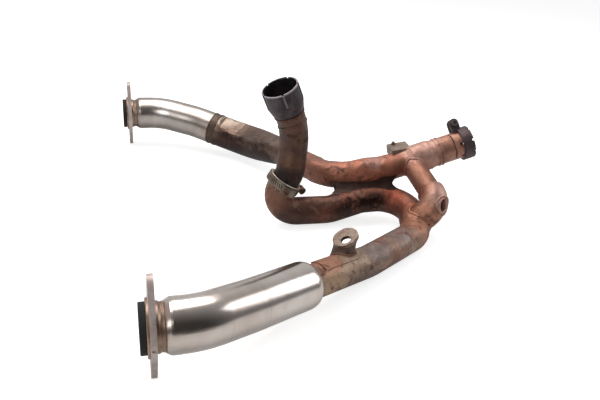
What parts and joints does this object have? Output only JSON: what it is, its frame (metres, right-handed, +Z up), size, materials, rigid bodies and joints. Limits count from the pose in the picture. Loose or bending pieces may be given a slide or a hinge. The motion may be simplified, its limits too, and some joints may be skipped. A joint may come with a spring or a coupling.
{
  "type": "motorcycle exhaust header",
  "caption": "Twin-port motorcycle exhaust header: flanged inlet pipes in polished heat covers join at a collector with a clamped outlet, a clamped stub pipe and a sensor port.",
  "frame": {"origin": "centre of the near port flange's seating face", "axes": "+X from the port into the pipe, +Y towards the far port, +Z up as it lies on the floor"},
  "size_m": [0.4804, 0.666, 0.2019],
  "materials": {
    "flange_steel": "stained",
    "gasket": "sooty",
    "neck_steel": "heat-browned",
    "polished_cover": "polished",
    "ring_steel": "heat-browned",
    "header_steel": "heat-tinted",
    "orange_steel": "rusty, heat-tinted",
    "burnt_steel": "burnt dark",
    "dark_steel": "burnt dark",
    "tinted_steel": "heat-tinted",
    "stub_steel": "heat-tinted",
    "sleeve_steel": "dull",
    "collector_steel": "heat-tinted",
    "cup_steel": "heat-tinted",
    "weathered_clamp": "weathered",
    "dark_clamp": "weathered",
    "rusty_bolt": "rusty",
    "clamp_bolt": "weathered",
    "bracket_steel": "dull",
    "weld_metal": "rough"
  },
  "bodies": {
    "root": {"near_flange": "flange_steel", "near_gasket": "gasket", "near_neck": "neck_steel", "near_cover": "polished_cover", "near_end_ring": "ring_steel", "near_pipe": "header_steel", "near_return_bend": "orange_steel", "under_pipe": "burnt_steel", "stub_elbow": "dark_steel", "elbow_band": "weathered_clamp", "elbow_band_lugs": "weathered_clamp", "elbow_band_tab": "weathered_clamp", "elbow_band_rivet": "rusty_bolt", "elbow_bolt": "rusty_bolt", "elbow_nut": "rusty_bolt", "stub_pipe": "stub_steel", "slotted_sleeve": "sleeve_steel", "sleeve_weld": "weld_metal", "far_flange": "flange_steel", "far_gasket": "gasket", "far_neck": "neck_steel", "far_cover": "polished_cover", "far_pipe": "header_steel", "far_band": "ring_steel", "far_wide_pipe": "tinted_steel", "far_mid_pipe": "orange_steel", "pipe_web": "burnt_steel", "collector": "collector_steel", "outlet_pipe": "collector_steel", "outlet_band": "dark_clamp", "outlet_band_lugs": "dark_clamp", "outlet_bolt": "clamp_bolt", "outlet_nut": "clamp_bolt", "crossover_pipe": "orange_steel", "crossover_cup": "cup_steel", "cup_weld": "weld_metal", "sensor_boss": "cup_steel", "tab_bracket": "bracket_steel", "tab_stud": "bracket_steel", "eye_saddle": "header_steel", "eye_post": "dark_steel", "eye_plate": "bracket_steel", "eye_weld": "weld_metal"}
  },
  "joints": []
}
